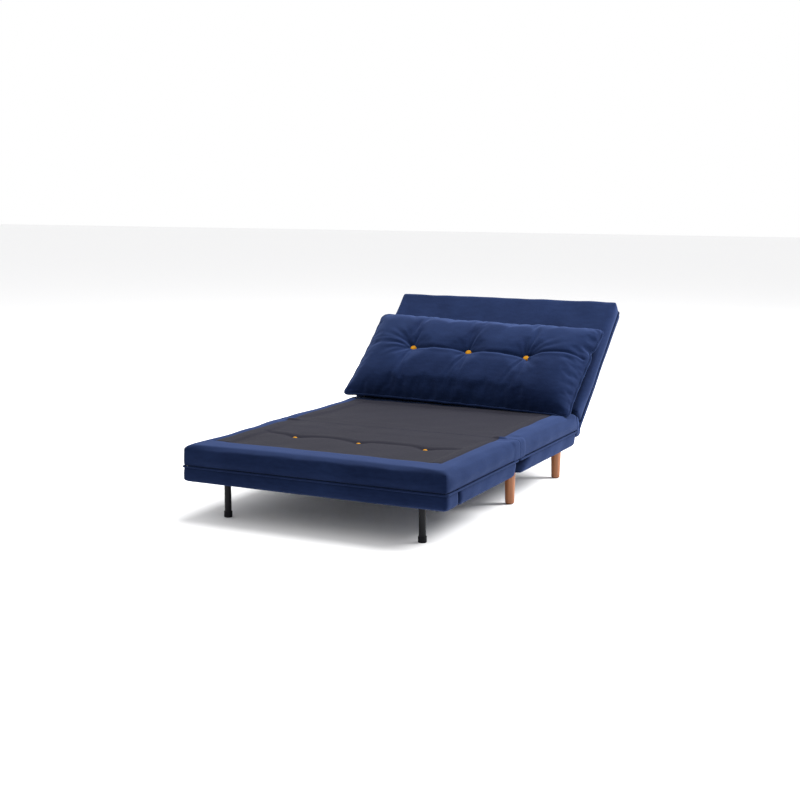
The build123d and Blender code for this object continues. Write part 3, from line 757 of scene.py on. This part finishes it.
def makeLower(name, body, blocks, zs, replaced, wave):
    bm = bmesh.new()
    isFront = body == "front_section"
    for block in blocks:
        low, high, *slants = block
        slants = (slants + [0.0, 0.0])[:2]
        # the end that runs past the fold stays sharp for the cut
        square = [y for y in (low[1], high[1]) if abs(y - foldPoint.y) < 0.02]
        square = [y for y in square if (y > foldPoint.y) == isFront]
        softBox(bm, low, high, lower["upright"], lower["crown"], lower["foot"], *slants, *square)
    ob = newObject(name, bm, (velvetMat,))
    remesh(ob, lower["voxel"])
    p = getPoints(ob.data)
    held = (p[:, 2] < zs[0] + 0.006) | (p[:, 2] > zs[1] - 0.006)
    inflate(ob, held, lower["sim"])
    relax(ob, 1)
    subdivide(ob)
    p = getPoints(ob.data)
    n = getNormals(ob.data)
    side = 1 - ease(np.abs(n[:, 2]), 0.3, 0.8)
    p += n * (wave * ripple(p, lower["waveSize"], 21) * side)[:, None]
    if name == "frontLowerCover":
        p = seatDimples(p)
    setPoints(ob.data, p)
    if name != "frontEdgeCover":
        cutAtFold(ob, isFront)
    finishPiece(ob, body, replaced)
    return ob


padLo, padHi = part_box("front_lower_pad")
edgeLo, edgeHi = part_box("front_edge_pad")
baseLo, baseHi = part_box("base_lower_pad")
inset, notch = lower["in"], lower["notch"]
zs = (padLo.z, padHi.z)
makeLower(
    "frontLowerCover", "front_section",
    [((padLo.x + inset, padLo.y, zs[0]), (padHi.x - inset, padHi.y - 0.008, zs[1]), 0.0, -0.030),
     ((padLo.x + notch, padHi.y - 0.08, zs[0]), (padHi.x - notch, foldPoint.y + fold["extra"], zs[1]))],
    zs, ("front_lower_pad",), 0.0016,
)
# the slots that the metal legs fold into, from the leg's foot to its bracket
slotIn, slotOut = 0.214, 0.408
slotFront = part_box("left_leg_bracket")[0].y
makeLower(
    "frontEdgeCover", "front_section",
    [((edgeLo.x + inset, edgeLo.y + inset, zs[0]), (edgeHi.x - inset, slotFront, zs[1])),
     ((edgeLo.x + inset, edgeLo.y + 0.03, zs[0]), (-slotOut, edgeHi.y, zs[1])),
     ((-slotIn, edgeLo.y + 0.03, zs[0]), (slotIn, edgeHi.y, zs[1])),
     ((slotOut, edgeLo.y + 0.03, zs[0]), (edgeHi.x - inset, edgeHi.y, zs[1]))],
    zs, ("front_edge_pad",), 0.0014,
)
makeLower(
    "baseLowerCover", "base",
    [((baseLo.x + inset, baseLo.y, zs[0]), (baseHi.x - inset, baseHi.y - inset, zs[1]), 0.116, -0.022),
     ((baseLo.x + notch, foldPoint.y - fold["extra"], zs[0]), (baseHi.x - notch, baseHi.y - 0.1, zs[1]))],
    zs, ("base_lower_pad",), 0.0018,
)

# slack cloth tucked in at each side, where the lower layers part
tuckedCloth = {
    "in": 0.034, "sag": 0.016, "columns": 22, "rows": 12, "thick": 0.0015,
    "begin": 0.002, "end": 0.010, "lean": 0.112, "crumple": 0.0035,
}


def makeTuckedCloth(name, side):
    bm = bmesh.new()
    bmesh.ops.create_grid(bm, x_segments=tuckedCloth["columns"], y_segments=tuckedCloth["rows"], size=1.0)
    for v in bm.verts:
        a, b = (v.co.x + 1) / 2, (v.co.y + 1) / 2
        z = baseLo.z + 0.004 + (baseHi.z - baseLo.z - 0.006) * b
        begin = foldPoint.y + tuckedCloth["begin"]
        end = foldPoint.y + tuckedCloth["end"] + tuckedCloth["lean"] * b
        bag = tuckedCloth["sag"] * math.sin(math.pi * a) ** 0.8 * (0.35 + 0.65 * b)
        crumple = tuckedCloth["crumple"] * math.sin(a * 15 + b * 3.0) * math.sin(math.pi * a)
        v.co = (side * (baseHi.x - tuckedCloth["in"] - bag + crumple), begin + (end - begin) * a, z)
    bmesh.ops.recalc_face_normals(bm, faces=bm.faces)
    ob = newObject(name, bm, (velvetMat,))
    mod = ob.modifiers.new("clothThickness", "SOLIDIFY")
    mod.thickness = tuckedCloth["thick"]
    mod.offset = 0
    applyAll(ob)
    finishPiece(ob, "base")


makeTuckedCloth("tuckedClothLeft", -1)
makeTuckedCloth("tuckedClothRight", 1)

# backrest
backrest = {
    "voxel": 0.0095, "in": 0.001, "upright": 0.009, "drop": 0.026, "waveSize": 0.17,
    "sim": {"pressure": 2.6, "cap": 0.005, "frames": 8},
}
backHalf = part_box("back_front_pad")[1].x
# up the slope from the pivot, then out from the pivot to the seam, the back and the face
backStart, backEnd = 0.012, 0.662
backSeam, backRear, backFace = -0.050, -0.083, 0.015


def makeBackPad(name, near, far, crown, foot, cadNode, wave, drop=0.0):
    bm = bmesh.new()
    k = backrest["in"]
    low, high = (-backHalf + k, backStart + k - drop, near), (backHalf - k, backEnd - k, far)
    softBox(bm, low, high, backrest["upright"], crown, foot)
    ob = newObject(name, bm, (velvetMat,))
    remesh(ob, backrest["voxel"])
    p = getPoints(ob.data)
    held = (p[:, 2] < near + 0.006) | ((p[:, 2] > far - 0.004) & (np.abs(p[:, 0]) < backHalf - 0.05))
    inflate(ob, held, backrest["sim"])
    subdivide(ob)
    p = getPoints(ob.data)
    n = getNormals(ob.data)
    p += n * (wave * ripple(p, backrest["waveSize"], 31))[:, None]
    p[:, 2] = np.clip(p[:, 2], near - 0.001, far + 0.001)
    setPoints(ob.data, p)
    ob.data.transform(slopeFrame)
    finishPiece(ob, "backrest", (cadNode,))


makeBackPad("backFrontCover", backSeam, backFace, 0.014, 0.007, "back_front_pad", 0.0013)
makeBackPad(
    "backRearCover", backRear, backSeam, 0.006, 0.014, "back_rear_pad", 0.0010, backrest["drop"],
)

# rolled cloth that joins the back of the base to the foot of the backrest
hingeRoll = {
    "out": 0.060, "in": 0.006, "endRound": 0.030, "endLess": 0.20, "across": 64, "softer": 3,
    "ripple": 0.0022, "rippleSize": 0.09,
}


def makeHingeRoll():
    rear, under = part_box("base_mattress")[1].y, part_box("base_mattress")[0].z
    outs = (backRear + 0.004, backSeam, backFace - 0.016)
    foot = [slopeFrame @ Vector((0, backStart + 0.004, n)) for n in outs]
    # the roll's outline from the side, under the base, round the back and up into the backrest's foot
    turns = [
        (rear - 0.010, under - 0.028), (rear + 0.020, under - 0.038),
        (rear + hingeRoll["out"], under - 0.030), (foot[0].y + 0.002, under - 0.004),
        (foot[0].y, foot[0].z), (foot[1].y, foot[1].z), (foot[2].y, foot[2].z),
        (rear - 0.004, foot[2].z - 0.004), (rear - 0.010, under + 0.010),
    ]
    # each pass cuts every corner at a quarter of the way
    for _ in range(hingeRoll["softer"]):
        ends = zip(turns, turns[1:] + turns[:1])
        turns = [
            ((c * a[0] + (4 - c) * b[0]) / 4, (c * a[1] + (4 - c) * b[1]) / 4)
            for a, b in ends for c in (3, 1)
        ]
    bm = bmesh.new()
    bmesh.ops.create_grid(bm, x_segments=hingeRoll["across"], y_segments=len(turns), size=1.0)
    half = backHalf - hingeRoll["in"]
    midY, midZ = [sum(q[k] for q in turns) / len(turns) for k in (0, 1)]
    for v in bm.verts:
        y, z = turns[int(round((v.co.y + 1) / 2 * len(turns))) % len(turns)]
        end = ease(np.array(abs(v.co.x) * half), half - hingeRoll["endRound"], half)
        keep = 1 - hingeRoll["endLess"] * float(end) ** 2
        v.co = (v.co.x * half, midY + (y - midY) * keep, midZ + (z - midZ) * keep)
    bmesh.ops.remove_doubles(bm, verts=bm.verts, dist=1e-5)
    bmesh.ops.holes_fill(bm, edges=bm.edges, sides=0)
    bmesh.ops.recalc_face_normals(bm, faces=bm.faces)
    ob = newObject("hingeRoll", bm, (velvetMat,))
    p = getPoints(ob.data)
    p += getNormals(ob.data) * (hingeRoll["ripple"] * ripple(p, hingeRoll["rippleSize"], 41))[:, None]
    setPoints(ob.data, p)
    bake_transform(ob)
    finishPiece(ob, None)


makeHingeRoll()

# loose cushion, tufted with three buttons
cushion = {
    "voxel": 0.0072, "low": -0.056, "length": 0.496, "half": 0.530, "seam": 0.077, "deep": 0.156,
    "near": 0.0165, "sheet": 0.030, "corner": 0.027, "rim": 0.010, "turn": -1.8,
    "sim": {"pressure": 4.0, "cap": 0.0145, "frames": 14, "slack": -0.030, "stiff": 12, "bend": 0.25},
    "buttonAt": 0.512, "buttonStep": 0.265, "buttonDeep": 0.0135, "buttonHold": 0.010, "dimple": 0.050,
    "arch": -0.006, "sideIn": 0.008, "kink": 0.013, "kinkAt": 0.100, "kinkWide": 0.020, "flare": 0.012,
    "ear": 0.014, "earWide": 0.045, "pucker": 0.0013, "puckerSize": 0.034, "wave": 0.0015, "waveSize": 0.11,
    "piping": 0.0048, "pipingCorner": 0.034,
}
cushionMid = cushion["low"] + cushion["length"] / 2
buttonS = cushion["low"] + cushion["length"] * cushion["buttonAt"]
buttonX = [-cushion["buttonStep"], 0.0, cushion["buttonStep"]]
# drawn-in pleats: button number, angle in degrees, length, depth, width
pleats = [
    (0, 152, 0.20, 0.0075, 0.0060), (0, 139, 0.17, 0.0085, 0.0065), (0, 125, 0.12, 0.0050, 0.0055),
    (0, 176, 0.22, 0.0060, 0.0065), (0, 196, 0.16, 0.0050, 0.0060), (0, 214, 0.14, 0.0055, 0.0065),
    (0, 78, 0.16, 0.0032, 0.0045), (0, 262, 0.20, 0.0024, 0.0045), (0, 100, 0.08, 0.0030, 0.0050),
    (1, 80, 0.18, 0.0042, 0.0045), (1, 100, 0.09, 0.0026, 0.0050), (1, 257, 0.22, 0.0042, 0.0045),
    (1, 228, 0.10, 0.0035, 0.0055), (1, 300, 0.08, 0.0030, 0.0050), (1, 60, 0.08, 0.0030, 0.0050),
    (2, 78, 0.18, 0.0042, 0.0045), (2, 55, 0.16, 0.0034, 0.0060), (2, 36, 0.22, 0.0060, 0.0065),
    (2, 22, 0.18, 0.0045, 0.0060), (2, 300, 0.12, 0.0085, 0.0060), (2, 312, 0.11, 0.0070, 0.0055),
    (2, 285, 0.11, 0.0065, 0.0055), (2, 325, 0.10, 0.0040, 0.0055), (2, 255, 0.24, 0.0040, 0.0050),
    (2, 110, 0.10, 0.0040, 0.0055),
]


cushionFrame = slopeFrame @ Matrix.Translation((0, buttonS, 0))
cushionFrame = cushionFrame @ Matrix.Rotation(math.radians(cushion["turn"]), 4, "Z")
cushionFrame = cushionFrame @ Matrix.Translation((0, -buttonS, 0))


def cushionPlan(x, s):
    # the side seams pull in between the corners, most at the right where the crease meets them
    u, v = x / cushion["half"], (s - cushionMid) / (cushion["length"] / 2)
    share = ease(np.abs(u), 0.86, 1.0)
    pull = cushion["sideIn"] * (1 - v ** 2)
    kink = cushion["kink"] * bump(s - buttonS - cushion["kinkAt"], cushion["kinkWide"]) * (x > 0)
    # the lower corners stand out a little
    far = (1 - np.abs(u)) ** 2 * cushion["half"] ** 2 + (1 + v) ** 2 * cushion["length"] ** 2 / 4
    ear = cushion["ear"] * np.exp(-far / cushion["earWide"] ** 2)
    newX = (x - np.sign(x) * (pull + kink) * share) * (1 + cushion["flare"] * v) + np.sign(x) * ear * 0.5
    newS = s - np.sign(v) * 0.006 * (1 - u ** 2) * ease(np.abs(v), 0.8, 1.0) - ear * 0.8
    return newX, newS


def cushionHeight(x, s):
    # half thickness of the pillow over its plan
    u = np.clip(np.abs(x) / cushion["half"], 0, 1)
    v = np.clip(np.abs(s - cushionMid) / (cushion["length"] / 2), 0, 1)
    full = (1 - u ** 5) ** 0.62 * (1 - v ** 2.6) ** 0.62
    return cushion["deep"] / 2 * full


def cushionTufts(p):
    # how far the face is drawn in by the buttons, the crease between them and the pleats
    x, s = p[:, 0], p[:, 1]
    drop = np.zeros(len(p))
    for bx in buttonX:
        r = np.hypot(x - bx, s - buttonS)
        drop = np.maximum(drop, 0.007 * np.exp(-((r / 0.024) ** 1.3)))
    line = buttonS + creaseLine(x, buttonX, cushion["arch"])
    outer = np.abs(x) > buttonX[2]
    reach = np.clip((np.abs(x) - buttonX[2]) / (cushion["half"] - buttonX[2]), 0, 1)
    line = np.where(outer, buttonS + 0.046 * reach + 0.012 * np.sin(reach * math.pi), line)
    strength = np.where(outer & (x < 0), 0.25, 1.0)
    valley = 0.0050 * bump(s - line, 0.030) + 0.0058 * bump(s - line, 0.0056)
    valley += -0.0026 * bump(s - line + 0.015, 0.011) - 0.0016 * bump(s - line - 0.016, 0.012)
    fade = ease(cushion["half"] - np.abs(x), 0.0, 0.04)
    drop = drop + valley * strength * fade
    for which, angle, length, deep, wide in pleats:
        a = math.radians(angle)
        dx, ds = x - buttonX[which], s - buttonS
        along = dx * math.cos(a) + ds * math.sin(a)
        across = -dx * math.sin(a) + ds * math.cos(a)
        # each pleat bends by an uneven amount, here the sine of its plain number of degrees
        across = across - 0.10 * along * along / length * math.sin(angle)
        t = np.clip(along / length, 0, 1)
        size = deep * np.clip(along / 0.018, 0, 1) * (1 - t) ** 1.1 * (along > 0)
        width = wide * (0.7 + 1.5 * t)
        lips = 0.45 * size * bump(np.abs(across) - 2.1 * width, width)
        drop = drop + size * bump(across, width) - lips
    return drop


def makeCushion():
    # a thin sheet is thickened to the pillow's plan, then filled by the cloth's pressure
    thin = cushion["sheet"]
    bm = bmesh.new()
    low = (-cushion["half"] + 0.006, cushion["low"] + 0.004, -thin / 2)
    high = (cushion["half"] - 0.006, cushion["low"] + cushion["length"] - 0.004, thin / 2)
    softBox(bm, low, high, cushion["corner"], cushion["rim"], cushion["rim"])
    ob = newObject("cushionCover", bm, (velvetMat,))
    remesh(ob, cushion["voxel"])
    p = getPoints(ob.data)
    z = p[:, 2].copy()
    height = cushionHeight(p[:, 0], p[:, 1]) * 0.86 + 0.006
    p[:, 2] = z / (thin / 2) * height
    face = np.where(z > 0, 1.0, -1.0)
    drawn = np.zeros(len(p))
    for bx in buttonX:
        r = np.hypot(p[:, 0] - bx, p[:, 1] - buttonS)
        drawn = np.maximum(drawn, cushion["buttonDeep"] * np.exp(-((r / cushion["dimple"]) ** 1.2)))
    p[:, 2] -= face * drawn * (np.abs(z) > thin / 2 * 0.8)
    setPoints(ob.data, p)
    # the seam and the buttons hold
    held = np.abs(z) < thin * 0.16
    for bx in buttonX:
        held |= np.hypot(p[:, 0] - bx, p[:, 1] - buttonS) < cushion["buttonHold"]
    inflate(ob, held, cushion["sim"])
    relax(ob, 1)
    subdivide(ob)
    p = getPoints(ob.data)
    n = getNormals(ob.data)
    face = np.where(p[:, 2] > 0, 1.0, -1.0)
    away = np.abs(p[:, 2])
    weight = ease(away, 0.010, 0.028)
    p[:, 2] -= np.where(face > 0, cushionTufts(p) * weight, 0)
    v = (p[:, 1] - cushionMid) / (cushion["length"] / 2)
    rimShare = ease(np.abs(p[:, 0]) / cushion["half"], 0.86, 1.0)
    p[:, 0], p[:, 1] = cushionPlan(p[:, 0], p[:, 1])
    # puckers along the seam
    pucker = cushion["pucker"] * ripple(p * (1, 1, 0), cushion["puckerSize"], 77) * rimShare
    pucker += 0.0009 * np.sin(p[:, 0] * 150 + 1.7 * np.sin(p[:, 0] * 29)) * ease(np.abs(v), 0.88, 1.0)
    p[:, 2] += pucker * face * ease(away, 0.004, 0.016)
    p += n * (cushion["wave"] * ripple(p, cushion["waveSize"], 12) * weight)[:, None]
    p[:, 2] += cushion["seam"]
    p[:, 2] = np.maximum(p[:, 2], cushion["near"])
    setPoints(ob.data, p)
    return ob


def cushionSeam():
    # the line that the piping follows, in the backrest's own directions
    points = []
    r = cushion["pipingCorner"]
    hw, hl = cushion["half"] - 0.005, cushion["length"] / 2 - 0.003
    corners = [
        (hw - r, -hl + r, -90), (hw - r, hl - r, 0), (-hw + r, hl - r, 90), (-hw + r, -hl + r, 180),
    ]
    for cx, cy, begin in corners:
        for i in range(9):
            a = math.radians(begin + 90 * i / 8)
            points.append((cx + r * math.cos(a), cy + r * math.sin(a)))
    dense = []
    for i, a in enumerate(points):
        b = points[(i + 1) % len(points)]
        steps = max(1, int(math.hypot(b[0] - a[0], b[1] - a[1]) / 0.012))
        dense += [(a[0] + (b[0] - a[0]) * k / steps, a[1] + (b[1] - a[1]) * k / steps) for k in range(steps)]
    plan = np.array(dense) + (0, cushionMid)
    wave = 0.0016 * np.sin(plan[:, 1] * 95) + 0.0010 * np.sin(plan[:, 0] * 60)
    x, y = cushionPlan(plan[:, 0], plan[:, 1])
    return [Vector((x[i], y[i], cushion["seam"] + wave[i])) for i in range(len(x))]


def makeTube(name, points, radius, mat):
    curve = bpy.data.curves.new(name, "CURVE")
    curve.dimensions = "3D"
    curve.bevel_depth = radius
    curve.bevel_resolution = 3
    spline = curve.splines.new("NURBS")
    spline.points.add(len(points) - 1)
    for target, p in zip(spline.points, points):
        target.co = (*p, 1)
    spline.order_u = 3
    spline.use_cyclic_u = True
    ob = bpy.data.objects.new(name, curve)
    scene.collection.objects.link(ob)
    graph = bpy.context.evaluated_depsgraph_get()
    mesh = bpy.data.meshes.new_from_object(ob.evaluated_get(graph))
    bpy.data.objects.remove(ob)
    solid = bpy.data.objects.new(name, mesh)
    scene.collection.objects.link(solid)
    mesh.materials.clear()
    mesh.materials.append(mat)
    return solid


def followBack(ob):
    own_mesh(ob)


def layOnBed(ob):
    # the cushion rests on the backrest and on the bed
    p = getPoints(ob.data)
    p[:, 2] = np.maximum(p[:, 2], topZ + 0.0012)
    setPoints(ob.data, p)


cover = makeCushion()
cover.data.transform(cushionFrame)
layOnBed(cover)
finishPiece(cover, "cushion", ("cushion_body",))
followBack(cover)
piping = makeTube("cushionPiping", cushionSeam(), cushion["piping"], velvetMat)
piping.data.transform(cushionFrame)
layOnBed(piping)
finishPiece(piping, "cushion", ("cushion_piping",))
followBack(piping)

# covered buttons
button = {"radius": 0.0158, "high": 0.011, "sunk": 0.001}
liningTuft = {"radius": 0.0085, "high": 0.004, "sunk": 0.002}


def makeButton(name, matrix, radius, high):
    bm = bmesh.new()
    bmesh.ops.create_uvsphere(bm, u_segments=32, v_segments=16, radius=1.0)
    bmesh.ops.scale(bm, vec=(radius, radius, high), verts=bm.verts)
    # a flat dome with a small hollow in the middle, and a shallow back
    for v in bm.verts:
        r = math.hypot(v.co.x, v.co.y) / radius
        if v.co.z > 0:
            v.co.z = high * (1 - r ** 3.2) - high * 0.22 * math.exp(-((r / 0.45) ** 2))
        else:
            v.co.z *= 0.5
    bmesh.ops.transform(bm, matrix=matrix, verts=bm.verts)
    return newObject(name, bm, (buttonMat,))


def cushionFaceAt(x, s):
    # how high the cover stands at the middle of a button
    p = getPoints(cover.data)
    inv = np.array(cushionFrame.inverted())
    q = p @ inv[:3, :3].T + inv[:3, 3]
    near = (np.hypot(q[:, 0] - x, q[:, 1] - s) < 0.012) & (q[:, 2] > cushion["seam"])
    return float(q[near, 2].mean())


for number, x in enumerate(buttonX):
    face = cushionFaceAt(x, buttonS)
    place = cushionFrame @ Matrix.Translation((x, buttonS, face - button["sunk"]))
    ob = makeButton("cushionButton" + "ABC"[number], place, button["radius"], button["high"])
    finishPiece(ob, "cushion", ("cushion_buttons",) if number == 0 else ())
    followBack(ob)

faceDown = Matrix.Rotation(math.pi, 4, "X")
for number, x in enumerate(seatX):
    place = Matrix.Translation((x, seatY, zs[0] + seatTufts["deep"] - button["sunk"])) @ faceDown
    ob = makeButton("seatButton" + "ABC"[number], place, seatTufts["radius"], seatTufts["high"])
    finishPiece(ob, "front_section", ("seat_buttons",) if number == 0 else ())

for number, x in enumerate(tuftX):
    place = Matrix.Translation((x, tuftY, topZ - top["tuftDeep"] - liningTuft["sunk"]))
    ob = makeButton("liningTuft" + "ABC"[number], place, liningTuft["radius"], liningTuft["high"])
    finishPiece(ob, "front_section", ("lining_tufts",) if number == 0 else ())

scene.frame_set(1)
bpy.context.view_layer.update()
print("all pieces ready", round(time.time() - began, 1), "s")
